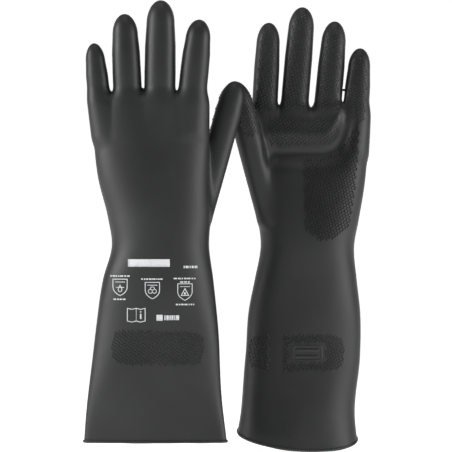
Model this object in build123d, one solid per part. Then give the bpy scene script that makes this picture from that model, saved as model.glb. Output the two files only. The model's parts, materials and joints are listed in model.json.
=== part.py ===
"""A pair of long black rubber gauntlet gloves, upright side by side with their fingers up.

Each glove is one dipped rubber skin with a rolled bead round its mouth, a cotton flock lining bonded
inside it and an ink print on the back of its sleeve. The skin and the lining are divided where they bend:
sleeve, wrist band, hand with its finger stubs, and for each digit a bending band and a closed stall.

Frame: millimetres, +Z towards the fingertips, X across the palm, Y through the thickness of the gloves.
The origin is the middle of the rear glove's cuff mouth. The front glove turns its back to -Y and the
rear glove turns its palm to -Y, and the thumbs cross between them without touching.
"""

import os
from math import copysign, cos, radians, sin
from typing import NamedTuple

from build123d import *

# Walls and clearances
RUBBER = 1.0  # dipped skin
BOND = 0.1  # clearance between the skin and the lining
FLOCK = 0.5  # cotton lining
INK = 0.15  # printed film
BEAD_RADIUS = 1.4  # rolled edge of the mouth
BEAD_DROP = 1.0  # centre line of the bead below the end of the skin
LINING_SETBACK = 4.0  # bare rubber between the mouth and the lining

# Bends
WRIST_BAND = 24.0  # height of the stretch that bends at the wrist
FINGER_BAND = 11.0  # length of the stretch that bends at the root of a digit
THUMB_SWING = 45.0  # degrees that a thumb's stroke rises from the palm as it crosses it

# Section of the digits
FINGER_FLATNESS = 0.86  # half depth over half width
THUMB_FLATNESS = 0.8
TAPER_BULGE = 0.25  # how far a digit's side stands out from a straight taper
QUARTER_ELLIPSE = 0.5523  # share of a radius that makes a Bezier curve close to a quarter of an ellipse

# Print: everything is placed from the wrist and the middle of the sleeve
MARK_LINE = 1.0  # width of a printed outline
SHIELD = (11.2, 12.4)
SHIELD_POINT = 4.0  # height of a shield's pointed foot
SHIELD_PLACES = ((-24.75, -31.1), (-0.75, -33.4), (23.25, -34.5))
BOOKLET = (14.0, 11.5)
BOOKLET_PLACE = (-12.75, -51.4)
BARS = (  # across, up, length, height
    (-3.4, -13.1, 31.0, 6.4),
    (27.75, -16.1, 11.0, 2.4),
    (-24.75, -22.6, 14.5, 1.6),
    (-0.75, -24.9, 16.5, 1.6),
    (23.25, -25.2, 16.5, 1.6),
    (-24.75, -39.9, 9.5, 1.6),
    (23.25, -43.6, 13.0, 1.6),
    (10.1, -53.6, 17.5, 5.0),
)


class Section(NamedTuple):
    """Elliptical section of a sleeve or a hand. The rise is its share of that stretch's length."""

    rise: float
    centre: float
    half_width: float
    half_depth: float


class Digit(NamedTuple):
    """A digit, by its bend: the point of its axis where it hinges."""

    across: float  # sideways place of the bend
    rise: float  # height of the bend above the wrist
    lean: float  # degrees from +Z towards +X
    reach: float  # bend to tip
    sink: float  # bend to the end buried in the palm
    root_width: float  # half widths: buried end, bend, and where the rounded tip starts
    bend_width: float
    tip_width: float
    dome: float  # length of the rounded tip
    palmward: float = 0.0  # how far the bend stands from the middle of the hand towards the palm
    tilt: float = 0.0  # degrees that the axis leans towards the palm
    flatness: float = FINGER_FLATNESS


class Glove(NamedTuple):
    """One glove. Its sections are centred on its own cuff mouth, which stands at place."""

    name: str
    place: tuple
    palm_side: int  # +1: the palm faces +Y, -1: it faces -Y
    sleeve_length: float  # mouth to wrist
    hand_length: float  # wrist to the finger roots
    mouth_slope: float  # degrees, the mouth's back rim above its front rim
    mouth_roll: float  # degrees, the mouth's left rim above its right rim
    sleeve: tuple
    hand: tuple
    digits: dict


FRONT = Glove(
    name="front",
    place=(-107.5, -50.0, -4.0),
    palm_side=1,
    sleeve_length=147.0,
    hand_length=100.0,
    mouth_slope=0.0,
    mouth_roll=0.0,
    sleeve=(
        Section(-0.11, -0.2, 54.9, 8.6),
        Section(0.0, 0.0, 53.2, 9.0),
        Section(0.31, 0.9, 48.8, 14.5),
        Section(0.62, 2.2, 45.3, 19.5),
        Section(0.83, 3.3, 41.1, 22.0),
    ),
    hand=(
        Section(0.0, 5.0, 36.4, 23.5),
        Section(0.2, 3.9, 38.4, 22.5),
        Section(0.5, -0.6, 41.1, 19.5),
        Section(0.84, -2.2, 43.0, 16.0),
        Section(1.0, -3.0, 42.0, 9.0),
    ),
    digits={
        "index": Digit(30.2, 128.6, 5.8, 39.4, 50.0, 10.6, 10.65, 9.3, 15.4),
        "middle": Digit(4.5, 128.6, 0.8, 53.4, 50.0, 11.4, 11.7, 10.4, 17.4),
        "ring": Digit(-20.2, 128.6, -2.5, 43.4, 50.0, 10.6, 10.8, 9.6, 16.4),
        "little": Digit(-41.1, 115.1, -6.0, 35.4, 38.0, 8.2, 8.7, 7.4, 14.4),
        "thumb": Digit(
            52.6, 89.3, 15.0, 34.5, 75.0, 9.0, 10.0, 9.6, 17.5, 12.8, 4.5, THUMB_FLATNESS
        ),
    },
)

REAR = Glove(
    name="rear",
    place=(0.0, 0.0, 0.0),
    palm_side=-1,
    sleeve_length=143.0,
    hand_length=92.0,
    mouth_slope=22.0,
    mouth_roll=3.8,
    sleeve=(
        Section(-0.12, 0.0, 46.6, 25.4),
        Section(0.0, 0.0, 45.2, 24.2),
        Section(0.08, 0.7, 43.6, 23.0),
        Section(0.4, 3.75, 44.1, 21.0),
        Section(0.62, 4.9, 42.7, 21.2),
        Section(0.82, 6.5, 38.2, 22.5),
    ),
    hand=(
        Section(0.0, 7.7, 35.5, 23.8),
        Section(0.2, 8.5, 38.0, 22.5),
        Section(0.53, 10.3, 41.0, 19.0),
        Section(0.86, 10.5, 42.8, 16.0),
        Section(1.0, 10.3, 41.6, 9.0),
    ),
    digits={
        "index": Digit(-24.1, 112.5, 3.0, 55.5, 44.0, 9.4, 9.7, 8.8, 16.3),
        "middle": Digit(-1.35, 114.0, 4.9, 65.9, 44.0, 10.8, 10.65, 9.7, 16.9),
        "ring": Digit(23.6, 114.0, 5.4, 55.1, 44.0, 10.4, 10.3, 9.2, 17.1),
        "little": Digit(44.55, 104.25, 4.2, 44.3, 34.0, 10.0, 10.3, 8.3, 15.3),
        "thumb": Digit(
            -39.0, 89.0, -14.5, 35.0, 74.0, 9.0, 10.0, 9.6, 17.6, 12.8, 4.5, THUMB_FLATNESS
        ),
    },
)


def body_form(glove, inset):
    """Arm and palm as one smooth solid, drawn in from the outer shape by the inset."""
    rings = []
    for sections, start, length in (
        (glove.sleeve, 0.0, glove.sleeve_length),
        (glove.hand, glove.sleeve_length, glove.hand_length),
    ):
        for section in sections:
            closing = inset if section is glove.hand[-1] else 0.0
            height = start + section.rise * length - closing
            ring = Ellipse(section.half_width - inset, section.half_depth - inset)
            rings.append(Plane((section.centre, 0, height)) * ring)
    return loft(rings)


def digit_frame(glove, digit, along=0.0):
    """Plane square to the digit's axis, a distance along it from the bend. Its x runs across the digit."""
    lean = radians(digit.lean)
    tilt = radians(digit.tilt)
    axis = Vector(sin(lean) * cos(tilt), glove.palm_side * sin(tilt), cos(lean) * cos(tilt))
    bend = Vector(digit.across, glove.palm_side * digit.palmward, glove.sleeve_length + digit.rise)
    return Plane(origin=bend + axis * along, x_dir=(cos(lean), 0, -sin(lean)), z_dir=axis)


def digit_stub(glove, digit, inset, spill):
    """Solid stretch of a digit from its end in the palm to just past its bend."""
    ends = ((-digit.sink, digit.root_width), (spill, digit.bend_width))
    rings = [
        digit_frame(glove, digit, along) * Ellipse(width - inset, (width - inset) * digit.flatness)
        for along, width in ends
    ]
    return loft(rings)


def digit_profile(digit, inset):
    """Side of a digit from its bend to its tip: a slow taper, then close to a quarter of an ellipse."""
    bend, tip = digit.bend_width - inset, digit.tip_width - inset
    shoulder, top = digit.reach - digit.dome, digit.reach - inset
    rise = (top - shoulder) * QUARTER_ELLIPSE
    side = Spline((bend, 0), ((bend + tip) / 2 + TAPER_BULGE, shoulder / 2), (tip, shoulder))
    cap = Bezier((tip, shoulder), (tip, shoulder + rise), (tip * QUARTER_ELLIPSE, top), (0, top))
    return side + cap


def digit_layer(glove, digit, outer, inner, start, end=None):
    """A layer of one digit from a distance beyond the bend to another, or to its tip.

    The layer is turned about the digit's axis and then flattened, so it is thinner at the back and the
    palm than at the sides, by the digit's flatness.
    """
    outline = digit_profile(digit, outer) + digit_profile(digit, inner)
    outline += Line((0, digit.reach - inner), (0, digit.reach - outer))
    outline += Line((digit.bend_width - inner, 0), (digit.bend_width - outer, 0))
    turned = revolve(make_face(Plane.XZ * outline), Axis.Z)
    if start:
        turned = split(turned, level(start), Keep.TOP)
    if end:
        turned = split(turned, level(end), Keep.BOTTOM)
    return digit_frame(glove, digit).location * scale(turned, by=(1, digit.flatness, 1))


def mouth_plane(glove, rise=0.0):
    """Plane of the cuff's mouth, moved up the sleeve by the rise."""
    tilted = Plane.XY.rotated((glove.mouth_slope, glove.mouth_roll, 0))
    return tilted.offset(rise)


def level(height):
    return Plane((0, 0, height))


def wall(form, outer, inner):
    """Shell between two insets of a form."""
    return form(outer) - form(inner)


def palm_layer(glove, outer, inner, bottom):
    """A layer of the hand with its finger stubs, open at the bottom and at every bend."""

    def solid(inset, spill):
        palm = split(body_form(glove, inset), level(bottom - spill), Keep.TOP)
        for digit in glove.digits.values():
            palm += digit_stub(glove, digit, inset, spill)
        return palm

    return solid(outer, 0.0) - solid(inner, 1.0)


def cuff_bead(glove):
    """Rolled edge: a round swept along the middle of the skin's wall, cut flat where the skin meets it."""
    rim = section(body_form(glove, RUBBER / 2), section_by=mouth_plane(glove)).face().outer_wire()
    rim = Pos(*(mouth_plane(glove).z_dir * -BEAD_DROP)) * rim
    roll = sweep(Plane(origin=rim @ 0, z_dir=rim % 0) * Circle(BEAD_RADIUS), path=rim)
    return split(roll, mouth_plane(glove), Keep.BOTTOM)


def shield():
    """Outline of a shield: a square top and a pointed foot."""
    width, height = SHIELD

    def plate(inset):
        half = width / 2 - inset
        top = height / 2 - inset
        foot = -height / 2 + SHIELD_POINT
        point = -height / 2 + inset * 1.2
        return Polygon((-half, top), (-half, foot), (0, point), (half, foot), (half, top), align=None)

    return plate(0.0) - plate(MARK_LINE)


def booklet():
    """Outline of an open booklet: a frame with a spine down its middle."""
    width, height = BOOKLET
    frame = Rectangle(width, height) - Rectangle(width - 2 * MARK_LINE, height - 2 * MARK_LINE)
    return frame + Rectangle(MARK_LINE, height)


def printed_marks(glove):
    """Ink film on the back of the sleeve: bars for lettering, three shields and a booklet."""
    marks = [Pos(x, y) * Rectangle(length, height) for x, y, length, height in BARS]
    marks += [Pos(*place) * shield() for place in SHIELD_PLACES]
    marks.append(Pos(*BOOKLET_PLACE) * booklet())
    back = -glove.palm_side
    sheet = Plane(origin=(0, 0, glove.sleeve_length), x_dir=(-back, 0, 0), z_dir=(0, back, 0))
    film = wall(lambda inset: body_form(glove, inset), -INK, 0.0)
    reach = max(section.half_depth for section in glove.hand) + 2 * INK
    film = split(film, level(0.0), Keep.TOP)
    return [film & extrude(sheet * mark, reach) for mark in marks]


def build(glove):
    """Every piece of one glove, by node name, in the glove's own place."""
    low = glove.sleeve_length - WRIST_BAND / 2
    high = glove.sleeve_length + WRIST_BAND / 2
    lining = RUBBER + BOND
    skin = wall(lambda inset: body_form(glove, inset), 0.0, RUBBER)
    flock = wall(lambda inset: body_form(glove, inset), lining, lining + FLOCK)
    above_mouth = split(skin, mouth_plane(glove), Keep.TOP)
    pieces = {
        "sleeve": split(above_mouth, level(low), Keep.BOTTOM),
        "wrist_band": split(split(skin, level(low), Keep.TOP), level(high), Keep.BOTTOM),
        "hand": palm_layer(glove, 0.0, RUBBER, high),
        "cuff_bead": cuff_bead(glove),
        "sleeve_lining": split(
            split(flock, mouth_plane(glove, LINING_SETBACK), Keep.TOP), level(low), Keep.BOTTOM
        ),
        "hand_lining": palm_layer(glove, lining, lining + FLOCK, low),
        "print": Compound(children=printed_marks(glove)),
    }
    for name, digit in glove.digits.items():
        pieces[f"{name}_band"] = digit_layer(glove, digit, 0.0, RUBBER, 0.0, FINGER_BAND)
        pieces[f"{name}_stall"] = digit_layer(glove, digit, 0.0, RUBBER, FINGER_BAND)
        pieces[f"{name}_lining"] = digit_layer(glove, digit, lining, lining + FLOCK, 0.0)
    return {f"{glove.name}_{name}": Pos(*glove.place) * piece for name, piece in pieces.items()}


def bend_axes(glove):
    """Point and axis of each bend.

    A positive turn bends the hand back at the wrist, curls a finger towards the palm, and opens the thumb
    out of its stroke across the palm.
    """
    place = Vector(*glove.place)
    yield "wrist", place + Vector(0, 0, glove.sleeve_length), Vector(glove.palm_side, 0, 0)
    swing = radians(THUMB_SWING)
    for name, digit in glove.digits.items():
        frame = digit_frame(glove, digit)
        axis = frame.x_dir * -glove.palm_side
        if name == "thumb":
            inward = frame.x_dir * -copysign(1, digit.across)
            stroke = inward * cos(swing) + frame.y_dir * (glove.palm_side * sin(swing))
            axis = stroke.cross(frame.z_dir)
        yield name, place + frame.origin, axis


os.makedirs("parts", exist_ok=True)
for glove in (REAR, FRONT):
    for node, piece in build(glove).items():
        export_step(piece, f"parts/{node}.step")
    for name, point, axis in bend_axes(glove):
        print("bend", glove.name, name, *(round(value, 6) for value in (*point, *axis)))
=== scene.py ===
"""Looks of a pair of long black rubber gauntlet gloves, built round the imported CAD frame.

Each glove's skin is one level surface: an arm and a palm with elliptical sections, five digits with rounded
tips, and soft joins where they meet. It is sampled on a grid, turned into quads, given its wall thickness
and divided where the joints bend it. The rolled bead, the raised grip and the print are grids laid on it.
Lengths are millimetres until a mesh is made, and metres in Blender.
"""

import json

import bpy
import numpy as np
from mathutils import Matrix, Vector


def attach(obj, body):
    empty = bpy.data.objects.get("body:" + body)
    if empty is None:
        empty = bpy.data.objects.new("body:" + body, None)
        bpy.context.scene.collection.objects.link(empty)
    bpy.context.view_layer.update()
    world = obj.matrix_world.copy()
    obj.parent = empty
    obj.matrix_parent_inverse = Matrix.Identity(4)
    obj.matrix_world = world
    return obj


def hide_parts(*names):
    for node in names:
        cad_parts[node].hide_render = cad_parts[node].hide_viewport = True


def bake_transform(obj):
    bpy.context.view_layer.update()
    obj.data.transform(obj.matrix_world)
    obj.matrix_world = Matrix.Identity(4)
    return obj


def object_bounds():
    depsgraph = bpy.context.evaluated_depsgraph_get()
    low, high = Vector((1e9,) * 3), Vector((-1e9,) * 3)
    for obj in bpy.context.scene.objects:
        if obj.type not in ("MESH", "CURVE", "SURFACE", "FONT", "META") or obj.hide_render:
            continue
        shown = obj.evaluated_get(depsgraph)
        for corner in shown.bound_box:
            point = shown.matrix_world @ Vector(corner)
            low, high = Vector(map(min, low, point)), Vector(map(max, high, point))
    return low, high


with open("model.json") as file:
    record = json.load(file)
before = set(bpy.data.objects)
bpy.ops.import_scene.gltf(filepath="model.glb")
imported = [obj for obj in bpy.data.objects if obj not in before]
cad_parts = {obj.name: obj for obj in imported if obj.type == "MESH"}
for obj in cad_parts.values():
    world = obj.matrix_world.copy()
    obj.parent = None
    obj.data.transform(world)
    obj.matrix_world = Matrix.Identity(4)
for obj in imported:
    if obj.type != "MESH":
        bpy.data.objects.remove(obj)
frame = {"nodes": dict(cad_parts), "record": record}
cad_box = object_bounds()

MM = 0.001
RUBBER = 1.0  # wall of the skin
BOND = 0.1  # clearance between the skin and the lining
FLOCK = 0.5  # wall of the lining
CELL = 1.6  # grid pitch of the skin
BLEND_HALF = 9.0  # half length of the stretch that bends at the root of a finger
THUMB_SHIFT = 4.0  # the thumb's bending stretch lies this much nearer its tip
CUT_ROOM = CELL * 1.8  # a digit is divided off this far before its bending stretch
WRIST_HALF = 32.0  # half length of the stretch that bends at the wrist
TINY = 1e-9  # keeps a division from zero
UP = np.array([0.0, 0.0, 1.0])
LEVEL_PART = (1.0, 1.0, 0.0)
DIGITS = ("index", "middle", "ring", "little", "thumb")
JOINTS = {joint["name"]: joint for joint in frame["record"]["behaviour"]["joints"]}

# Sections of each glove from its own cuff mouth: share of the stretch, sideways centre, half width, half
# depth. The sleeve's run from the mouth to the wrist, the hand's from the wrist to the finger roots.
# The mouth's plane rises by the slope front to back and by the roll side to side, in degrees. Each digit has
# its half width inside the palm, at its root and at its tip, and the length of its rounded tip.
GLOVES = {
    "front": {
        "palm_side": 1,
        "mouth": (-107.5, -50.0, -4.0),
        "slope": 0.0,
        "roll": 0.0,
        "trim": 1.8,  # visible edge above the mouth's plane
        "cuff_band": (-37.0, 31.0, -89.0, -63.0),  # low and high across, low and high from the wrist
        "phase": 1.7,  # of the slow ripples
        "hand_length": 100.0,
        "fold": 79.0,  # height of the palm's fold above the wrist
        "sleeve": (
            (-0.2, -0.2, 55.2, 8.4),
            (0.0, 0.0, 53.2, 9.0),
            (0.31, 0.9, 48.8, 14.5),
            (0.62, 2.2, 45.3, 19.5),
            (0.83, 3.3, 41.1, 22.0),
            (1.0, 5.0, 36.4, 23.5),
        ),
        "hand": (
            (0.2, 3.9, 38.2, 22.5),
            (0.5, -0.6, 41.1, 19.5),
            (0.84, -2.2, 43.0, 15.5),
            (1.1, -3.4, 43.4, 10.5),
        ),
        "widths": {
            "index": (10.8, 10.65, 9.3, 15.4),
            "middle": (11.4, 11.7, 10.4, 17.4),
            "ring": (10.8, 10.8, 9.6, 16.4),
            "little": (6.4, 8.4, 7.4, 14.4),
            "thumb": (9.4, 10.0, 9.6, 17.5),
        },
    },
    "rear": {
        "palm_side": -1,
        "mouth": (0.0, 0.0, 0.0),
        "slope": 22.0,
        "roll": 3.8,
        "trim": 0.0,
        "cuff_band": (-37.0, 35.0, -95.0, -67.5),
        "phase": 4.1,
        "hand_length": 92.0,
        "fold": 70.0,
        "sleeve": (
            (-0.2, 0.0, 48.0, 26.0),
            (0.0, 0.0, 45.2, 24.2),
            (0.08, 0.7, 43.5, 23.0),
            (0.4, 3.75, 44.1, 21.0),
            (0.62, 4.9, 42.7, 21.2),
            (0.82, 6.5, 38.2, 22.5),
            (1.0, 7.7, 35.5, 23.8),
        ),
        "hand": (
            (0.2, 8.5, 38.0, 22.5),
            (0.53, 10.3, 41.0, 19.0),
            (0.86, 10.5, 42.8, 15.8),
            (1.1, 10.2, 43.0, 10.5),
        ),
        "widths": {
            "index": (9.6, 9.7, 8.8, 16.3),
            "middle": (10.8, 10.65, 9.7, 16.9),
            "ring": (10.4, 10.3, 9.2, 17.1),
            "little": (8.8, 9.8, 8.3, 15.3),
            "thumb": (9.4, 10.0, 9.6, 17.6),
        },
    },
}

# Digits
SINK = {"index": 46.0, "middle": 46.0, "ring": 46.0, "little": 36.0, "thumb": 76.0}  # reach into the palm
FLATNESS = {"index": 0.86, "middle": 0.86, "ring": 0.86, "little": 0.86, "thumb": 0.8}  # depth over width
BELLY_PLACE = 0.55  # share of a digit's length where its taper is fullest
BELLY = 0.35  # half width added there
ROOT_ROUNDING = 6.0
BLEND_PALM = 9.0  # how widely a finger flows into the palm
BLEND_WEB = 1.6  # how widely two fingers flow into each other at their web
BLEND_THUMB = 5.0  # how widely the thumb flows into the hand
PALM_ROUNDING = 9.0  # of the palm's top edge between the fingers

# Ripples, and the fold across the palm with the pads above it
RIPPLE_HAND = 0.15
RIPPLE_SLEEVE = 0.8  # added to the hand's on the sleeve
RIPPLE_FADE = 60.0  # length over which the sleeve's part comes in
FOLD_DEPTH = 6.5
FOLD_WIDTH = 8.5
FOLD_TURN = 8.0  # from here to the little finger's side the fold climbs
FOLD_CLIMB = 0.04
FOLD_REACH = 37.0  # half length of the fold
FOLD_FADE = 15.0  # length of its fading ends
FOLD_MIDDLE = -2.0  # its middle, across from the middle of the hand
EDGE_FADE = 6.0  # depth over which fold and pads come in from the glove's edges
PAD_SWELL = 1.8
PAD_RISE = 15.0  # from the fold to the fullest part of the pads
PAD_WIDTH = 8.0

# Raised grip
GRIP_ACROSS = 2.6
GRIP_ALONG = 4.0
GRIP_HEIGHT = 0.8
GRIP_SLANT = np.radians(18.0)
GRIP_FILL = 0.43  # half size of a lozenge over the pitch
GRIP_TOP = 0.45  # its flat top over its foot
GRIP_SUNK = 0.15  # depth of its foot in the skin
PALM_AREA = (-46.0, 46.0, -4.0, 102.0)  # low and high across, low and high from the wrist
FOLD_PLAIN = 5.0  # plain rubber above and below the fold
PAD_GRIP_LENGTH = 26.0  # from the fold to the end of the pads' grip
DIGIT_PAD_HALF = 9.0
DIGIT_TIP_PLAIN = 5.0
PAD_GRIP = 0.62  # height on the pads and digits over that on the palm
CUFF_GRIP = 0.7  # height on the sleeve over that on the palm
PLAQUE = (7.0, 24.0, 12.0)  # across, length, height
PLAQUE_GAP = 16.5  # beside the plaque, a plain gap this far from the middle
PLAQUE_GAP_HALF = 5.0

# Print: across and up from the middle of the wrist
INK = 0.12
INK_SUNK = 0.1
MARK_STEP = 1.5  # grid pitch that follows the sleeve's curve
PRINT_CENTRE = 5.0  # the print's middle line lies this far from its own zero
THIN_LINE = 0.45
LINE = 0.55
PLAIN_BAR = (-3.4, -13.1, 31.0, 5.6)  # across, up, length, height
SIDE_LINE = (27.75, -16.1, 11.0, 1.8)
CODE_BAR = (4.5, -53.6, 4.6, 4.4)
CODE_LINE = (13.5, -53.6, 11.0, 3.6)
SHIELDS = (
    (-24.75, -31.1, "drop"),
    (-0.75, -33.4, "rings"),
    (23.25, -34.5, "triangle"),
)
BOOKLET_PLACE = (-12.75, -51.4)
BOOKLET_PAGE = ((0.0, -4.6), (3.2, -5.4), (6.6, -4.6), (6.6, 4.8), (3.2, 4.0), (0.0, 4.8), (0.0, -4.6))
BOOKLET_SIGN = ((3.3, -1.2, 1.0, 4.0), (3.3, 2.2, 1.0, 1.0))  # across, up, length, height on the page
SMALL_LINE_HEIGHT = 1.05
SMALL_LINES = (  # across, up, length
    (-24.75, -22.8, 14.5),
    (-0.75, -25.0, 16.5),
    (23.25, -24.6, 16.5),
    (23.25, -27.2, 7.0),
    (-24.75, -40.0, 10.0),
    (23.25, -43.8, 13.5),
)

# Lamps: place from the middle of the pair, size and power. Backdrop and camera, in metres.
LAMPS = {
    "key": ((-2.0, -0.7, 0.6), 1.1, 38.0),
    "fill": ((1.9, -0.7, 0.3), 1.0, 20.0),
    "top": ((0.0, -0.6, 2.1), 1.5, 9.0),
}
WORLD_STRENGTH = 0.2
FLOOR_FRONT = -14.0
FLOOR_BACK = 11.0
BACKDROP_CURVE = 3.0
BACKDROP_HEIGHT = 16.0
BACKDROP_HALF = 16.0
VIEW_WIDTH = 0.339
VIEW_MIDDLE = (-0.0539, 0.1572)  # across and up
LENS = 320.0
SENSOR = 36.0


def unit(vector):
    """Direction of a vector, with a length of one."""
    vector = np.asarray(vector, float)
    return vector / np.linalg.norm(vector)


def soft_min(a, b, reach):
    """Smaller of two distances, rounded off by up to a quarter of the reach where they are nearly equal."""
    overlap = np.clip(reach - np.abs(a - b), 0.0, None) / reach
    return np.minimum(a, b) - overlap * overlap * reach * 0.25


def oval_distance(u, v, half_u, half_v):
    """Distance to an ellipse, to first order: (q - 1) q over the length of the gradient term."""
    near_axis = 0.05
    q = np.sqrt((u / half_u) ** 2 + (v / half_v) ** 2) + TINY
    steep = np.sqrt((u / half_u**2) ** 2 + (v / half_v**2) ** 2) + TINY
    return np.where(q < near_axis, -np.minimum(half_u, half_v), (q - 1.0) * q / steep)


class Digit:
    """One digit: its axis runs from the hinge's point to the tip of its CAD stall."""

    def __init__(self, glove, name):
        self.name = name
        kind = "swing" if name == "thumb" else "curl"
        self.bend = np.array(JOINTS[f"{glove}_{name}_{kind}"]["pos_m"]) / MM
        self.shift = THUMB_SHIFT if name == "thumb" else 0.0
        stall = frame["nodes"][f"{glove}_{name}_stall"]
        points = np.empty(len(stall.data.vertices) * 3)
        stall.data.vertices.foreach_get("co", points)
        points = points.reshape(-1, 3) / MM
        middle = points.mean(axis=0)
        axis = unit(middle - self.bend)
        tip = points[np.argmax(points @ axis)]
        self.axis = unit(tip - self.bend)
        self.reach = float(np.max((points - self.bend) @ self.axis))
        self.across = unit(np.cross((0, 1, 0), self.axis))
        self.through = np.cross(self.axis, self.across)
        self.root, self.width, self.tip, self.dome = GLOVES[glove]["widths"][name]
        self.flat = FLATNESS[name]
        self.sink = SINK[name]
        self.shoulder = self.reach - self.dome

    def local(self, points):
        """Across, through and along the digit, from its bend."""
        away = points - self.bend
        return away @ self.across, away @ self.through, away @ self.axis

    def half_width(self, along):
        """Slow taper from the palm to the rounded tip."""
        stops = (-self.sink, 0.0, self.shoulder * BELLY_PLACE, self.shoulder)
        widths = (self.root, self.width, (self.width + self.tip) / 2 + BELLY, self.tip)
        return np.interp(along, stops, widths)

    def distance(self, points):
        """An elliptical tube with a half ellipsoid for its tip and a rounded end inside the palm."""
        u, v, s = self.local(points)
        wide = self.half_width(s)
        side = oval_distance(u, v, wide, wide * self.flat)
        beyond = np.clip(s - self.shoulder, 0.0, None)
        deep = self.tip * self.flat
        q = np.sqrt((u / self.tip) ** 2 + (v / deep) ** 2 + (beyond / self.dome) ** 2)
        steep = np.sqrt((u / self.tip**2) ** 2 + (v / deep**2) ** 2 + (beyond / self.dome**2) ** 2)
        cap = (q - 1.0) * q / (steep + TINY)
        whole = np.where(beyond > 0.0, cap, side)
        return -soft_min(-whole, s + self.sink, ROOT_ROUNDING)


class Glove:
    """One glove's level surface and the planes that divide it."""

    def __init__(self, name):
        data = GLOVES[name]
        self.name = name
        self.palm = data["palm_side"]
        self.mouth = np.array(data["mouth"])
        self.wrist = JOINTS[f"{name}_wrist_bend"]["pos_m"][2] / MM - self.mouth[2]
        self.slope = np.tan(np.radians(data["slope"]))
        self.roll = -np.tan(np.radians(data["roll"]))
        self.digits = {digit: Digit(name, digit) for digit in DIGITS}
        rows = [(share * self.wrist, *rest) for share, *rest in data["sleeve"]]
        rows += [(self.wrist + share * data["hand_length"], *rest) for share, *rest in data["hand"]]
        self.rows = np.array(rows)
        self.top = rows[-1][0]
        self.thumb_side = np.sign(self.digits["thumb"].bend[0] - self.mouth[0])
        self.little_way = np.array([-self.thumb_side, 0.0, 0.0])
        self.out_of_palm = np.array([0.0, self.palm, 0.0])
        self.fold = data["fold"]
        self.trim = data["trim"]
        self.cuff_band = data["cuff_band"]
        self.phase = data["phase"]

    def section(self, height):
        """Centre, half width and half depth at a height: cubic curves through the section tables."""
        knots = self.rows[:, 0]
        slopes = np.gradient(self.rows[:, 1:], knots, axis=0)
        i = np.clip(np.searchsorted(knots, height) - 1, 0, len(knots) - 2)
        step = knots[i + 1] - knots[i]
        t = np.clip((height - knots[i]) / step, 0.0, 1.0)[..., None]
        step = step[..., None]
        a, b = self.rows[i, 1:], self.rows[i + 1, 1:]
        curve = a * (1 + 2 * t) * (1 - t) ** 2 + b * t * t * (3 - 2 * t)
        curve = curve + slopes[i] * step * t * (1 - t) ** 2 - slopes[i + 1] * step * t * t * (1 - t)
        return curve[..., 0], curve[..., 1], curve[..., 2]

    def mouth_height(self, x, y):
        """Height of the mouth's plane over a point, measured from the middle of the mouth."""
        return self.slope * y + self.roll * x + self.trim

    def ripples(self, x, y, z):
        """Soft hollows of hanging rubber, stronger on the sleeve than on the hand.

        They are a broad and a narrow product of two sines. Each divisor is the length over which a wave
        turns by one radian, and the phase is the glove's own.
        """
        phase = self.phase
        broad = np.sin(x / 19.0 + z / 37.0 + phase) * np.sin(z / 29.0 - x / 41.0 + 2.0 * phase)
        narrow = np.sin(x / 11.0 - z / 53.0 + 3.0 * phase) * np.sin(z / 17.0 + y / 23.0 + phase)
        sleeve = np.clip((self.wrist + 10.0 - z) / RIPPLE_FADE, 0.0, 1.0)
        return (broad + 0.6 * narrow) * (RIPPLE_HAND + RIPPLE_SLEEVE * sleeve)

    def crease_height(self, ulnar):
        """Height above the wrist of the fold across the palm: level, then rising to the little finger."""
        return self.fold + FOLD_CLIMB * np.clip(ulnar - FOLD_TURN, 0.0, None) ** 2

    def creases(self, ulnar, y, height):
        """Fold pressed into the palm below the finger pads, with the pads swelling above it.

        Both are bell curves of the height over the fold's line, faded out at the fold's ends and at the
        glove's edges.
        """
        on_palm = np.clip(y * self.palm / EDGE_FADE, 0.0, 1.0)
        steep = np.sqrt(1.0 + (2.0 * FOLD_CLIMB * np.clip(ulnar - FOLD_TURN, 0.0, None)) ** 2)
        above = (height - self.crease_height(ulnar)) / steep
        ends = np.clip((FOLD_REACH - np.abs(ulnar - FOLD_MIDDLE)) / FOLD_FADE, 0.0, 1.0)
        ends = ends * ends * (3.0 - 2.0 * ends)
        groove = FOLD_DEPTH * np.exp(-(((above + 1.0) / FOLD_WIDTH) ** 2))
        swell = PAD_SWELL * np.exp(-(((above - PAD_RISE) / PAD_WIDTH) ** 2))
        return on_palm * ends * (groove - swell)

    def distance(self, points):
        """Signed distance to the skin's outer face: arm and palm, fingers and thumb, softly joined."""
        local = points - self.mouth
        x, y, z = local[..., 0], local[..., 1], local[..., 2]
        centre, wide, deep = self.section(z)
        body = oval_distance(x - centre, y, wide, deep)
        body = -soft_min(-body, self.top - z, PALM_ROUNDING)
        fingers = None
        for name in DIGITS[:4]:
            own = self.digits[name].distance(points)
            fingers = own if fingers is None else soft_min(fingers, own, BLEND_WEB)
        whole = soft_min(body, fingers, BLEND_PALM)
        whole = soft_min(whole, self.digits["thumb"].distance(points), BLEND_THUMB)
        ulnar = (centre - x) * self.thumb_side
        return whole + self.ripples(x, y, z) + self.creases(ulnar, y, z - self.wrist)

    def outward(self, points):
        """Unit direction in which the distance grows, and its slope there, by central differences."""
        step = 0.15
        slopes = [self.distance(points + move) - self.distance(points - move) for move in np.eye(3) * step]
        slopes = np.stack(slopes, axis=-1)
        return slopes / (np.linalg.norm(slopes, axis=-1, keepdims=True) + TINY), slopes / (2 * step)

    def settle(self, points, rounds=3):
        """Moves points onto the surface along its slope."""
        for _ in range(rounds):
            _, slope = self.outward(points)
            steep = np.sum(slope * slope, axis=-1, keepdims=True) + TINY
            points = points - slope * (self.distance(points)[..., None] / steep)
        return points

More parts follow.
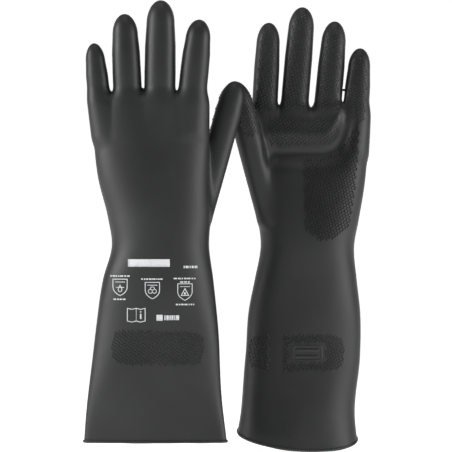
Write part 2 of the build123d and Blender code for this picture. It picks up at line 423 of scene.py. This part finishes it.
    def land(self, points, direction):
        """Points found by walking in from outside, against a direction, until they are on the surface."""
        away, rounds, share, longest = 40.0, 40, 0.8, 3.0
        points = points + direction * away
        for _ in range(rounds):
            step = np.clip(self.distance(points) * share, -longest, longest)
            points = points - direction * step[..., None]
        return points


def surface_net(values, corners):
    """Quads on the zero level of a grid: one point in each cut cell, at the mean of its edge crossings."""
    inside = values < 0.0
    shape = np.array(values.shape) - 1
    total = np.zeros((*shape, 3))
    count = np.zeros(shape, int)
    cuts = []
    for axis in range(3):
        low = [slice(None)] * 3
        high = [slice(None)] * 3
        low[axis], high[axis] = slice(None, -1), slice(1, None)
        low, high = tuple(low), tuple(high)
        cut = inside[low] != inside[high]
        share = np.where(cut, values[low] / np.where(cut, values[low] - values[high], 1.0), 0.0)[..., None]
        place = np.where(cut[..., None], corners[low] * (1 - share) + corners[high] * share, 0.0)
        first, second = (axis + 1) % 3, (axis + 2) % 3
        for step_first in (0, 1):
            for step_second in (0, 1):
                window = [slice(None)] * 3
                window[first] = slice(step_first, shape[first] + step_first)
                window[second] = slice(step_second, shape[second] + step_second)
                total += place[tuple(window)]
                count += cut[tuple(window)]
        cuts.append((cut, inside[low]))
    used = count > 0
    names = np.full(tuple(shape), -1)
    names[used] = np.arange(used.sum())
    points = total[used] / count[used][:, None]
    layer = np.argwhere(used)[:, 2]
    quads = []
    for axis, (cut, starts_inside) in enumerate(cuts):
        first, second = (axis + 1) % 3, (axis + 2) % 3
        where = np.argwhere(cut)
        keep = np.ones(len(where), bool)
        for side in (first, second):
            keep &= (where[:, side] > 0) & (where[:, side] < shape[side])
        where = where[keep]
        outward = starts_inside[tuple(where.T)]
        ring = []
        for step_first, step_second in ((1, 1), (0, 1), (0, 0), (1, 0)):
            cell = where.copy()
            cell[:, first] -= step_first
            cell[:, second] -= step_second
            ring.append(names[tuple(cell.T)])
        ring = np.stack(ring, axis=1)
        ring[~outward] = ring[~outward][:, ::-1]
        quads.append(ring)
    return points, np.concatenate(quads), layer


def skin_surface(glove):
    """Points, quads and outward directions of one glove's outer face, ending on the mouth's plane.

    The grid's lower layers are sheared to lie along that plane, so that one layer of points is its rim.
    """
    half_width, half_depth, tip_room, shear_height = 60.0, 38.0, 14.0, 70.0
    rim_layer = 2
    tips = np.array([digit.bend + digit.axis * digit.reach for digit in glove.digits.values()])
    low_x = min(glove.mouth[0] - half_width, tips[:, 0].min() - tip_room)
    high_x = max(glove.mouth[0] + half_width, tips[:, 0].max() + tip_room)
    x = np.arange(low_x, high_x, CELL)
    y = np.arange(-half_depth, half_depth, CELL) + glove.mouth[1]
    z = np.arange(-rim_layer - 0.5, (tips[:, 2].max() - glove.mouth[2]) / CELL + 3.0) * CELL
    grid = np.stack(np.meshgrid(x, y, z, indexing="ij"), axis=-1)
    fade = np.clip(1.0 - grid[..., 2] / shear_height, 0.0, 1.0)
    lift = glove.mouth_height(grid[..., 0] - glove.mouth[0], grid[..., 1] - glove.mouth[1])
    grid[..., 2] += glove.mouth[2] + lift * fade
    points, quads, layer = surface_net(glove.distance(grid), grid)
    points = glove.settle(points)
    rim = layer == rim_layer
    for _ in range(3):
        away = points[rim] - glove.mouth
        points[rim, 2] = glove.mouth[2] + glove.mouth_height(away[:, 0], away[:, 1])
        flat = glove.outward(points[rim])[0] * LEVEL_PART
        points[rim] -= flat * glove.distance(points[rim])[:, None]
    keep = layer >= rim_layer
    quads = quads[np.all(keep[quads], axis=1)]
    return points, quads, glove.outward(points)[0]


def new_piece(name, points, quads, material, smooth=True, normals=None):
    """Mesh object from points in millimetres and quads."""
    mesh = bpy.data.meshes.new(name)
    mesh.vertices.add(len(points))
    mesh.vertices.foreach_set("co", (points * MM).reshape(-1))
    mesh.loops.add(quads.size)
    mesh.loops.foreach_set("vertex_index", quads.reshape(-1))
    mesh.polygons.add(len(quads))
    mesh.polygons.foreach_set("loop_start", np.arange(0, quads.size, 4))
    mesh.polygons.foreach_set("loop_total", np.full(len(quads), 4))
    mesh.polygons.foreach_set("use_smooth", np.full(len(quads), smooth))
    mesh.update(calc_edges=True)
    if normals is not None:
        mesh.normals_split_custom_set(normals)
    mesh.materials.append(material)
    piece = bpy.data.objects.new(name, mesh)
    bpy.context.scene.collection.objects.link(piece)
    return piece


def walled(name, points, quads, outward, outer, inner, material):
    """Closed wall between two depths under a surface: its two faces, and strips along its open edges."""
    used, faces = np.unique(quads, return_inverse=True)
    faces = faces.reshape(quads.shape)
    edges = np.concatenate([faces[:, [i, (i + 1) % 4]] for i in range(4)])
    ordered = np.sort(edges, axis=1)
    _, index, repeats = np.unique(ordered, axis=0, return_index=True, return_counts=True)
    ahead, behind = edges[index[repeats == 1]].T
    base, lean = points[used], outward[used]
    number = len(used)
    strip = np.stack([behind, ahead, ahead + number, behind + number], axis=1)
    all_faces = np.concatenate([faces, faces[:, ::-1] + number, strip])
    all_points = np.concatenate([base - lean * outer, base - lean * inner])
    corners = all_points[strip]
    strip_lean = np.cross(corners[:, 1] - corners[:, 0], corners[:, 2] - corners[:, 1])
    strip_lean /= np.linalg.norm(strip_lean, axis=1, keepdims=True) + TINY
    outer_lean, inner_lean = lean[faces].reshape(-1, 3), -lean[faces[:, ::-1]].reshape(-1, 3)
    normals = np.concatenate([outer_lean, inner_lean, np.repeat(strip_lean, 4, axis=0)])
    return new_piece(name, all_points, all_faces, material, normals=normals)


def blend_at(piece, digit):
    """Bakes a piece's transform into its mesh; the ends of the stretch round the digit's hinge are worked
    out but not used.
    """
    centre = digit.bend + digit.axis * digit.shift
    start, end = centre - digit.axis * BLEND_HALF, centre + digit.axis * BLEND_HALF
    start * MM
    end * MM
    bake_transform(piece)


def blend_wrist(piece, glove):
    """Bakes a piece's transform into its mesh; the ends of the stretch round the wrist are worked out but
    not used.
    """
    middle = glove.mouth + UP * glove.wrist
    reach = UP * WRIST_HALF
    (middle - reach) * MM
    (middle + reach) * MM
    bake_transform(piece)


def owner_of(glove, points):
    """Index of the digit that each point belongs to beyond its cut, or -1 on the hand and sleeve."""
    distances = np.stack([glove.digits[name].distance(points) for name in DIGITS])
    nearest = np.argmin(distances, axis=0)
    owner = np.full(len(points), -1)
    for index, name in enumerate(DIGITS):
        digit = glove.digits[name]
        cut = -BLEND_HALF - CUT_ROOM + digit.shift
        owner[(nearest == index) & (digit.local(points)[2] > cut)] = index
    return owner


class Wire:
    """A shader value in an expression: operators add Math nodes."""

    def __init__(self, shader, socket):
        self.shader = shader
        self.socket = socket

    def _math(self, operation, other):
        return self.shader.node("ShaderNodeMath", {"operation": operation}, {0: self, 1: other})

    def __add__(self, other):
        return self._math("ADD", other)

    def __mul__(self, other):
        return self._math("MULTIPLY", other)

    __radd__ = __add__
    __rmul__ = __mul__


class Shader:
    """Node tree of one material."""

    def __init__(self, name):
        self.material = bpy.data.materials.new(name)
        self.material.use_nodes = True
        self.tree = self.material.node_tree
        self.tree.nodes.clear()

    def node(self, kind, settings=None, inputs=None, output=0):
        """Adds a node: settings first, then the values or wires of its sockets. Gives back one output."""
        made = self.tree.nodes.new(kind)
        for key, value in (settings or {}).items():
            if key == "stops":
                for element, (place, level) in zip(made.color_ramp.elements, value):
                    element.position = place
                    element.color = (level, level, level, 1.0)
            else:
                setattr(made, key, value)
        for key, value in (inputs or {}).items():
            if isinstance(value, Wire):
                self.tree.links.new(value.socket, made.inputs[key])
            else:
                made.inputs[key].default_value = value
        return Wire(self, made.outputs[output])

    def place(self):
        """Object coordinates, in metres."""
        return self.node("ShaderNodeTexCoord", output="Object")

    def noise(self, scale, detail, roughness):
        """Noise of so many turns a metre."""
        inputs = {"Vector": self.place(), "Scale": scale, "Detail": detail, "Roughness": roughness}
        return self.node("ShaderNodeTexNoise", inputs=inputs)

    def ramp(self, value, low, high):
        """Rises from nothing at the low value to full at the high one."""
        return self.node("ShaderNodeValToRGB", {"stops": ((low, 0.0), (high, 1.0))}, {0: value})

    def mix(self, share, first, second):
        """Colour between two others."""
        settings = {"data_type": "RGBA"}
        inputs = {0: share, 6: (*first, 1.0), 7: (*second, 1.0)}
        return self.node("ShaderNodeMix", settings, inputs, output=2)

    def bump(self, height, strength, distance):
        """Normal of a fine relief. The distance is its depth in metres."""
        inputs = {"Strength": strength, "Distance": distance, "Height": height}
        return self.node("ShaderNodeBump", inputs=inputs)

    def surface(self, **inputs):
        """Principled surface with its inputs named as on the node, spaces as underscores."""
        sockets = {key.replace("_", " "): value for key, value in inputs.items()}
        body = self.node("ShaderNodeBsdfPrincipled", inputs=sockets)
        end = self.tree.nodes.new("ShaderNodeOutputMaterial")
        self.tree.links.new(body.socket, end.inputs["Surface"])
        return self.material


def rubber_material():
    """Dipped black rubber: a slow bloom of lighter grey, a fine orange-peel grain and soft gloss changes."""
    shader = Shader("dipped_rubber")
    bloom = shader.noise(16.0, 3.0, 0.55)
    cloud = shader.noise(60.0, 4.0, 0.6)
    grain = shader.noise(1400.0, 3.0, 0.6)
    peel = shader.noise(420.0, 2.0, 0.5)
    level = shader.ramp(bloom, 0.3, 0.72) * 0.7 + cloud * 0.3
    color = shader.mix(level, (0.008, 0.0083, 0.0086), (0.021, 0.0215, 0.022))
    rough = bloom * 0.16 + grain * 0.12 + 0.32
    bump = shader.bump(grain * 0.35 + peel * 0.65, strength=0.35, distance=0.00025)
    return shader.surface(Base_Color=color, Roughness=rough, Normal=bump, Specular_IOR_Level=0.4)


def flock_material():
    """Cotton flock: pale grey fibres, dull and slightly uneven."""
    shader = Shader("cotton_flock")
    tuft = shader.noise(900.0, 4.0, 0.7)
    patch = shader.noise(70.0, 3.0, 0.5)
    color = shader.mix(tuft * 0.6 + patch * 0.4, (0.30, 0.29, 0.27), (0.52, 0.51, 0.48))
    bump = shader.bump(tuft, strength=0.8, distance=0.0006)
    return shader.surface(Base_Color=color, Roughness=tuft * 0.1 + 0.88, Normal=bump, Sheen_Weight=0.3)


def ink_material():
    """White printing ink, thin and slightly worn where the grain of the rubber shows through."""
    shader = Shader("printed_ink")
    wear = shader.noise(1800.0, 3.0, 0.7)
    patch = shader.noise(160.0, 2.0, 0.5)
    whole = shader.ramp(wear * 0.6 + patch * 0.4, 0.3, 0.44)
    color = shader.mix(whole, (0.30, 0.305, 0.31), (0.62, 0.63, 0.64))
    bump = shader.bump(wear, strength=0.4, distance=0.0001)
    return shader.surface(Base_Color=color, Roughness=wear * 0.2 + 0.5, Normal=bump)


RUBBER_LOOK = rubber_material()
FLOCK_LOOK = flock_material()
INK_LOOK = ink_material()


def make_skin(glove):
    """Rubber skin and flock lining: a sleeve-and-hand piece, and a piece for each digit."""
    points, quads, outward = skin_surface(glove)
    owners = owner_of(glove, points)[quads]
    face_owner = np.where(np.all(owners == owners[:, :1], axis=1), owners[:, 0], -1)
    layers = (
        ("skin", 0.0, RUBBER, RUBBER_LOOK, "rubber"),
        ("flock", RUBBER + BOND, RUBBER + BOND + FLOCK, FLOCK_LOOK, "flock"),
    )
    for layer, outer, inner, look, slot in layers:
        name = f"{glove.name}_glove_{layer}"
        body = walled(name, points, quads[face_owner == -1], outward, outer, inner, look)
        blend_wrist(body, glove)
        covered = ("sleeve", "wrist_band", "hand") if layer == "skin" else ("sleeve_lining", "hand_lining")
        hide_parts(*(f"{glove.name}_{node}" for node in covered))
        for index, digit_name in enumerate(DIGITS):
            name = f"{glove.name}_{digit_name}_{layer}"
            mine = quads[face_owner == index]
            piece = walled(name, points, mine, outward, outer, inner, look)
            blend_at(piece, glove.digits[digit_name])
            covered = ("band", "stall") if layer == "skin" else ("lining",)
            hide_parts(*(f"{glove.name}_{digit_name}_{node}" for node in covered))


def make_bead(glove):
    """Rolled edge: a slightly uneven round profile carried round the mouth, in the plane of the wall."""
    turns, around, thick, below = 220, 14, 1.25, 0.6
    angle = np.linspace(0.0, 2.0 * np.pi, turns, endpoint=False)
    _, wide, deep = glove.section(np.zeros(1))
    ring = np.stack([wide * np.cos(angle), deep * np.sin(angle), np.zeros(turns)], axis=-1) + glove.mouth
    for _ in range(6):
        away = ring - glove.mouth
        ring[:, 2] = glove.mouth[2] + glove.mouth_height(away[:, 0], away[:, 1])
        out = glove.outward(ring)[0] * LEVEL_PART
        ring -= out * glove.distance(ring)[:, None]
    out /= np.linalg.norm(out, axis=1, keepdims=True)
    down = unit((glove.roll, glove.slope, -1.0))
    turn = np.linspace(0.0, 2.0 * np.pi, around, endpoint=False)
    radius = thick * (1.0 + 0.05 * np.sin(angle * 7.0 + 1.0) + 0.04 * np.sin(angle * 13.0))
    middle = ring - out * (RUBBER * 0.4) + down * below
    profile = out[:, None, :] * np.cos(turn)[:, None] - down * np.sin(turn)[:, None]
    points = middle[:, None, :] + profile * radius[:, None, None]
    i, j = np.arange(turns)[:, None], np.arange(around)[None, :]
    row, next_row, next_j = i * around, (i + 1) % turns * around, (j + 1) % around
    corners = [row + j, next_row + j, next_row + next_j, row + next_j]
    quads = np.stack(corners, axis=-1).reshape(-1, 4)
    piece = new_piece(f"{glove.name}_mouth_bead", points.reshape(-1, 3), quads, RUBBER_LOOK)
    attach(piece, f"{glove.name}_sleeve")
    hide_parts(f"{glove.name}_cuff_bead")


def grid_quads(rows, columns):
    """Quads of a grid of points stored row by row."""
    i, j = np.arange(rows - 1)[:, None], np.arange(columns - 1)[None, :]
    corners = [i * columns + j, (i + 1) * columns + j, (i + 1) * columns + j + 1, i * columns + j + 1]
    return np.stack(corners, axis=-1).reshape(-1, 4)


def facing_out(points, quads, out):
    """The quads, turned round if the first one faces against the outward direction."""
    corner = points[quads[0]]
    facing = np.cross(corner[1] - corner[0], corner[2] - corner[1]) @ out
    return quads if facing > 0 else quads[:, ::-1]


def slab(glove, x, z, direction, height, sunk):
    """Closed sheet on the glove: a grid over (x, z) landed on the face that looks in the direction.

    Its top stands off the skin by the height, its underside is sunk in it, and strips join the two.
    """
    flat = np.stack([x, np.full_like(x, glove.mouth[1]), z], axis=-1)
    base = glove.land(flat, direction)
    out = glove.outward(base)[0]
    rows, columns = x.shape
    top = (base + out * np.broadcast_to(height, x.shape)[..., None]).reshape(-1, 3)
    under = (base - out * sunk).reshape(-1, 3)
    quads = grid_quads(rows, columns)
    grid = np.arange(rows * columns).reshape(rows, columns)
    loop = np.concatenate([grid[0, :-1], grid[:-1, -1], grid[-1, :0:-1], grid[:0:-1, 0]])
    after = np.roll(loop, -1)
    number = rows * columns
    strip = np.stack([after, loop, loop + number, after + number], axis=1)
    faces = np.concatenate([quads, quads[:, ::-1] + number, strip])
    points = np.concatenate([top, under])
    return points, facing_out(points, faces, out[0, 0])


def join(parts):
    """One set of points and quads from many."""
    points, faces, start = [], [], 0
    for part_points, part_faces in parts:
        points.append(part_points)
        faces.append(part_faces + start)
        start += len(part_points)
    return np.concatenate(points), np.concatenate(faces)


def lattice(low_u, high_u, low_v, high_v):
    """Centres of staggered lozenges, their rows slanted, over a rectangle."""
    columns, rows = 60, 90  # enough each way for the largest rectangle
    i, j = np.meshgrid(np.arange(-columns, columns + 1), np.arange(-rows, rows + 1), indexing="ij")
    across = i * GRIP_ACROSS + (j % 2) * GRIP_ACROSS / 2
    along = j * GRIP_ALONG / 2
    u = across * np.cos(GRIP_SLANT) + along * np.sin(GRIP_SLANT) + (low_u + high_u) / 2
    v = -across * np.sin(GRIP_SLANT) + along * np.cos(GRIP_SLANT) + (low_v + high_v) / 2
    inside = (u > low_u) & (u < high_u) & (v > low_v) & (v < high_v)
    return u[inside], v[inside]


def lozenges(glove, centres, across, along, direction, height):
    """Raised lozenges: four corners on the skin and a smaller, lifted top, all landed on the surface."""
    long_way = along * np.cos(GRIP_SLANT) + across * np.sin(GRIP_SLANT)
    short_way = across * np.cos(GRIP_SLANT) - along * np.sin(GRIP_SLANT)
    wide, tall = GRIP_ACROSS * GRIP_FILL, GRIP_ALONG * GRIP_FILL
    corners = np.stack([short_way * wide, long_way * tall, -short_way * wide, -long_way * tall])
    places = np.concatenate([corners, corners * GRIP_TOP])
    points = glove.land(centres[:, None, :] + places, direction)
    out = glove.outward(points)[0]
    height = np.broadcast_to(height, len(centres))
    lift = np.where(np.arange(8) < 4, -GRIP_SUNK, height[:, None])
    points = points + out * lift[..., None]
    quads = [[4, 5, 6, 7], [0, 1, 5, 4], [1, 2, 6, 5], [2, 3, 7, 6], [3, 0, 4, 7], [3, 2, 1, 0]]
    quads = (np.array(quads) + (np.arange(len(centres)) * 8)[:, None, None]).reshape(-1, 4)
    points = points.reshape(-1, 3)
    return points, facing_out(points, quads, out[0, 4])


def make_palm_grip(glove):
    """Raised grip on the palm: below the fold beside the thumb's base, and on the pads above the fold.

    Across runs from the thumb's side to the little finger's, and the height is from the wrist. The part
    below the fold has a slanting edge beside the thumb's base, and a shallow bowl for its foot.
    """
    x, height = lattice(*PALM_AREA)
    centre, wide, _ = glove.section(height + glove.wrist)
    fold = glove.crease_height(x)
    thumb_edge = -7.5 + 0.075 * (72.0 - height)
    foot = 3.3 + 0.033 * (x - 13.0) ** 2
    below = (x > thumb_edge) & (height > foot) & (height < fold - FOLD_PLAIN)
    above = (height > fold + FOLD_PLAIN) & (height < fold + PAD_GRIP_LENGTH) & (x > -31.0) & (x < 20.0)
    plain_edge = 7.0
    keep = (below | above) & (np.abs(x) < wide - plain_edge)
    across = glove.mouth[0] + centre - x * glove.thumb_side
    level = height + glove.wrist + glove.mouth[2]
    centres = np.stack([across, np.full_like(x, glove.mouth[1]), level], axis=-1)
    lift = GRIP_HEIGHT * np.where(below, 1.0, PAD_GRIP)
    points, quads = lozenges(glove, centres[keep], glove.little_way, UP, glove.out_of_palm, lift[keep])
    piece = new_piece(f"{glove.name}_palm_grip", points, quads, RUBBER_LOOK, smooth=False)
    blend_wrist(piece, glove)


def make_digit_grip(glove, digit):
    """Raised grip on the pad of a digit, turned towards the palm on the thumb."""
    direction = digit.through * glove.palm
    low = -BLEND_HALF - 2.0
    if digit.name == "thumb":
        direction = unit(direction * 0.8 - digit.across * glove.thumb_side * 0.6)
        low = -8.0
    across = np.cross(digit.axis, direction)
    u, s = lattice(-DIGIT_PAD_HALF, DIGIT_PAD_HALF, low, digit.reach - DIGIT_TIP_PLAIN)
    beyond = np.clip((s - digit.shoulder) / digit.dome, 0.0, 1.0)
    room = digit.half_width(s) * np.sqrt(1.0 - beyond**2) * 0.72
    keep = np.abs(u) < room
    u, s = u[keep], s[keep]
    centres = digit.bend + across * u[:, None] + digit.axis * s[:, None]
    fade = np.clip((digit.reach - 4.0 - s) / 6.0, 0.35, 1.0)
    points, quads = lozenges(glove, centres, across, digit.axis, direction, GRIP_HEIGHT * PAD_GRIP * fade)
    name = f"{glove.name}_{digit.name}_grip"
    piece = new_piece(name, points, quads, RUBBER_LOOK, smooth=False)
    blend_at(piece, digit)


def make_cuff_grip(glove):
    """Grip bands on both faces of the sleeve, open round the plaque on the palm's side."""
    low, high, foot, head = glove.cuff_band
    level = (foot + head) / 2
    parts = []
    for out in (glove.out_of_palm, -glove.out_of_palm):
        x, height = lattice(low, high, foot, head)
        up_share = (height - level) * 2 / (head - foot)
        side_share = (x * 2 - low - high) / (high - low)
        keep = up_share**4 + side_share**8 < 1.0
        if out is glove.out_of_palm:
            beside = np.abs(x - PLAQUE[0]) > PLAQUE[1] / 2 + 2.0
            over = np.abs(height - level) > PLAQUE[2] / 2 + 1.5
            keep &= (beside | over) & (np.abs(x + PLAQUE_GAP) > PLAQUE_GAP_HALF)
        x, height = x[keep, None], height[keep, None]
        centres = glove.mouth + glove.little_way * x + UP * (height + glove.wrist)
        parts.append(lozenges(glove, centres, glove.little_way, UP, out, GRIP_HEIGHT * CUFF_GRIP))
    points, quads = join(parts)
    piece = new_piece(f"{glove.name}_cuff_grip", points, quads, RUBBER_LOOK, smooth=False)
    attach(piece, f"{glove.name}_sleeve")


def make_cuff_plaque(glove):
    """Plain plaque in the palm side's band: a rectangle with bulging sides, a raised rim and two bars."""
    _, _, foot, head = glove.cuff_band
    u, v = np.meshgrid(np.linspace(-1, 1, 61), np.linspace(-1, 1, 37), indexing="ij")
    x = PLAQUE[0] + PLAQUE[1] / 2 * u * np.sqrt(1 - v**4 * 0.12)
    height = (foot + head) / 2 + PLAQUE[2] / 2 * v * np.sqrt(1 - u**4 * 0.22)
    edge = np.maximum(np.abs(u), np.abs(v))
    rim = np.exp(-(((edge - 0.9) / 0.07) ** 2))
    bars = np.exp(-(((np.abs(v) - 0.42) / 0.12) ** 2)) * (np.abs(u) < 0.72)
    lift = 0.3 + 0.5 * rim + 0.45 * bars
    across = glove.mouth[0] - x * glove.thumb_side
    level = height + glove.wrist + glove.mouth[2]
    points, quads = slab(glove, across, level, glove.out_of_palm, lift, sunk=0.25)
    piece = new_piece(f"{glove.name}_cuff_plaque", points, quads, RUBBER_LOOK)
    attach(piece, f"{glove.name}_sleeve")


def bar(x, z, length, height):
    """Rectangle as a grid, fine enough to follow the sleeve."""
    columns, rows = (max(2, int(size / MARK_STEP) + 1) for size in (length, height))
    u = np.linspace(-length / 2, length / 2, columns)
    v = np.linspace(-height / 2, height / 2, rows)
    return np.meshgrid(x + u, z + v, indexing="ij")


def ribbon(x, z, width):
    """Closed line of even width: each point of its path is moved both ways along its mitre."""
    path = np.stack([x, z], axis=-1)
    way = np.diff(np.concatenate([path[-1:], path, path[:2]]), axis=0)
    way /= np.linalg.norm(way, axis=1, keepdims=True)
    side = np.stack([-way[:, 1], way[:, 0]], axis=-1)
    mitre = side[1:] + side[:-1]
    mitre /= np.sum(mitre * side[1:], axis=1, keepdims=True)
    path = np.concatenate([path, path[:1]])
    edges = np.stack([path - mitre * width / 2, path + mitre * width / 2], axis=1)
    return edges[..., 0], edges[..., 1]


def outline(x, z, corners, width):
    """Closed line through corners given from a place, the last the same as the first."""
    step = 1.2  # about the distance between its points
    corners = np.asarray(corners, float)
    runs = []
    for start, end in zip(corners[:-1], corners[1:]):
        number = max(1, int(np.linalg.norm(end - start) / step))
        runs.append(start + (end - start) * np.linspace(0, 1, number, endpoint=False)[:, None])
    across, up = np.concatenate(runs).T
    return ribbon(x + across, z + up, width)


def shield_marks(x, z, sign):
    """Shield outline with a generic sign in it: a drop, three rings or a triangle.

    Each lower side of the shield is a curve from its shoulder to its point, pulled towards a third place.
    """
    left, right = (-5.3, 6.0), (5.3, 6.0)
    shoulder, pull, point = np.array([(5.3, 0.0), (5.1, -3.8), (0.0, -6.2)])
    t = np.linspace(0, 1, 9)[:, None]
    side = shoulder * (1 - t) ** 2 + pull * 2 * t * (1 - t) + point * t**2
    corners = np.concatenate([[left], side * (-1, 1), side[-2::-1], [right, left]])
    marks = [outline(x, z, corners, LINE), bar(x, z + 3.9, 7.4, THIN_LINE)]
    turn = np.linspace(0, 2 * np.pi, 25)[:-1]
    if sign == "drop":
        across, up = 1.9 * np.sin(turn) * np.sin(turn / 2) ** 1.4, -0.9 + 2.4 * np.cos(turn)
        marks += [ribbon(x + across, z + up, 0.5), bar(x, z - 0.1, 6.0, 0.5)]
    elif sign == "rings":
        for offset in (-1.5, 1.5):
            marks.append(ribbon(x + offset + 1.5 * np.cos(turn), z - 0.6 + 1.5 * np.sin(turn), THIN_LINE))
        marks.append(ribbon(x + 1.5 * np.cos(turn), z + 1.5 + 1.2 * np.sin(turn), THIN_LINE))
    else:
        triangle = [(-2.7, -2.6), (2.7, -2.6), (0.0, 2.4), (-2.7, -2.6)]
        marks += [outline(x, z, triangle, 0.6), bar(x, z - 1.2, 1.4, 1.6)]
    return marks


def dashes(x, z, length, height, seed):
    """Line of dashes of uneven length, in place of small lettering."""
    random = np.random.default_rng(seed)
    marks, start = [], -length / 2
    while start < length / 2 - 0.5:
        size = min(random.uniform(0.8, 2.6), length / 2 - start)
        marks.append(bar(x + start + size / 2, z, size, height))
        start += size + random.uniform(0.45, 0.75)
    return marks


def make_print(glove):
    """White marks on the back of the sleeve, all generic: bars, dashes, shields and an open booklet."""
    marks = [bar(*PLAIN_BAR)]
    marks += dashes(*SIDE_LINE, seed=3)
    for x, z, sign in SHIELDS:
        marks += shield_marks(x, z, sign)
    for number, (x, z, length) in enumerate(SMALL_LINES):
        marks += dashes(x, z, length, SMALL_LINE_HEIGHT, seed=11 + number)
    x, z = BOOKLET_PLACE
    for flip in (1.0, -1.0):
        marks.append(outline(x, z, np.array(BOOKLET_PAGE) * (flip, 1.0), LINE))
    for across, up, length, height in BOOKLET_SIGN:
        marks.append(bar(x + across, z + up, length, height))
    marks.append(bar(*CODE_BAR))
    marks += dashes(*CODE_LINE, seed=29)
    middle = glove.mouth[0] + glove.section(np.array([glove.wrist]))[0][0]
    parts = []
    for x, z in marks:
        across = middle + (x - PRINT_CENTRE) * glove.palm
        level = z + glove.wrist + glove.mouth[2]
        parts.append(slab(glove, across, level, -glove.out_of_palm, INK, INK_SUNK))
    points, quads = join(parts)
    piece = new_piece(f"{glove.name}_sleeve_print", points, quads, INK_LOOK)
    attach(piece, f"{glove.name}_sleeve")
    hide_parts(f"{glove.name}_print")


def make_backdrop(floor_height):
    """Pale floor that curves up into a backdrop."""
    turn = np.linspace(0.0, np.pi / 2, 20)[1:]
    floor = np.linspace(FLOOR_FRONT, FLOOR_BACK, 26)
    foot = FLOOR_BACK + BACKDROP_CURVE
    depth = np.concatenate([floor, FLOOR_BACK + BACKDROP_CURVE * np.sin(turn), [foot]])
    rise = np.concatenate([floor * 0.0, BACKDROP_CURVE * (1.0 - np.cos(turn)), [BACKDROP_HEIGHT]])
    sides = np.linspace(-BACKDROP_HALF, BACKDROP_HALF, 9)
    points = np.stack(np.broadcast_arrays(sides[:, None], depth, rise + floor_height), axis=-1)
    quads = grid_quads(len(sides), len(depth))
    shader = Shader("pale_backdrop")
    color = shader.mix(shader.noise(0.8, 2.0, 0.5), (0.90, 0.90, 0.90), (0.93, 0.93, 0.93))
    look = shader.surface(Base_Color=color, Roughness=0.9, Emission_Color=color, Emission_Strength=0.7)
    mesh = bpy.data.meshes.new("backdrop")
    mesh.from_pydata(points.reshape(-1, 3).tolist(), [], quads.tolist())
    mesh.polygons.foreach_set("use_smooth", np.full(len(quads), True))
    mesh.materials.append(look)
    backdrop = bpy.data.objects.new("backdrop", mesh)
    bpy.context.scene.collection.objects.link(backdrop)


def make_lamps(middle):
    """Large soft lamps turned to the middle of the pair, and a faint even light all round."""
    for name, (offset, size, power) in LAMPS.items():
        lamp = bpy.data.lights.new(name, "AREA")
        lamp.size, lamp.energy = size, power
        lamp_object = bpy.data.objects.new(name, lamp)
        lamp_object.location = tuple(middle + np.array(offset))
        lamp_object.rotation_euler = Vector(-np.array(offset)).to_track_quat("-Z", "Y").to_euler()
        bpy.context.scene.collection.objects.link(lamp_object)
    world = bpy.data.worlds.new("studio")
    world.use_nodes = True
    background = world.node_tree.nodes["Background"]
    background.inputs["Color"].default_value = (1.0, 1.0, 1.0, 1.0)
    background.inputs["Strength"].default_value = WORLD_STRENGTH
    bpy.context.scene.world = world


def make_camera(middle):
    """Long-lens camera that looks straight at the pair."""
    camera = bpy.data.cameras.new("camera")
    camera.lens = LENS
    camera.sensor_width = SENSOR
    camera_object = bpy.data.objects.new("camera", camera)
    bpy.context.scene.collection.objects.link(camera_object)
    distance = VIEW_WIDTH * LENS / SENSOR
    camera_object.location = (VIEW_MIDDLE[0], middle[1] - distance, VIEW_MIDDLE[1])
    camera_object.rotation_euler = (np.pi / 2, 0.0, 0.0)
    bpy.context.scene.camera = camera_object
    bpy.context.scene.view_settings.view_transform = "Standard"


def make_stage():
    """Backdrop, lamps and camera, placed by the CAD's box."""
    low, high = np.array(cad_box)
    middle = (low + high) / 2
    make_backdrop(low[2] - MM)
    make_lamps(middle)
    make_camera(middle)


make_stage()
for glove_name in GLOVES:
    glove = Glove(glove_name)
    make_skin(glove)
    make_bead(glove)
    make_palm_grip(glove)
    for digit in glove.digits.values():
        make_digit_grip(glove, digit)
    make_cuff_grip(glove)
    make_cuff_plaque(glove)
    make_print(glove)
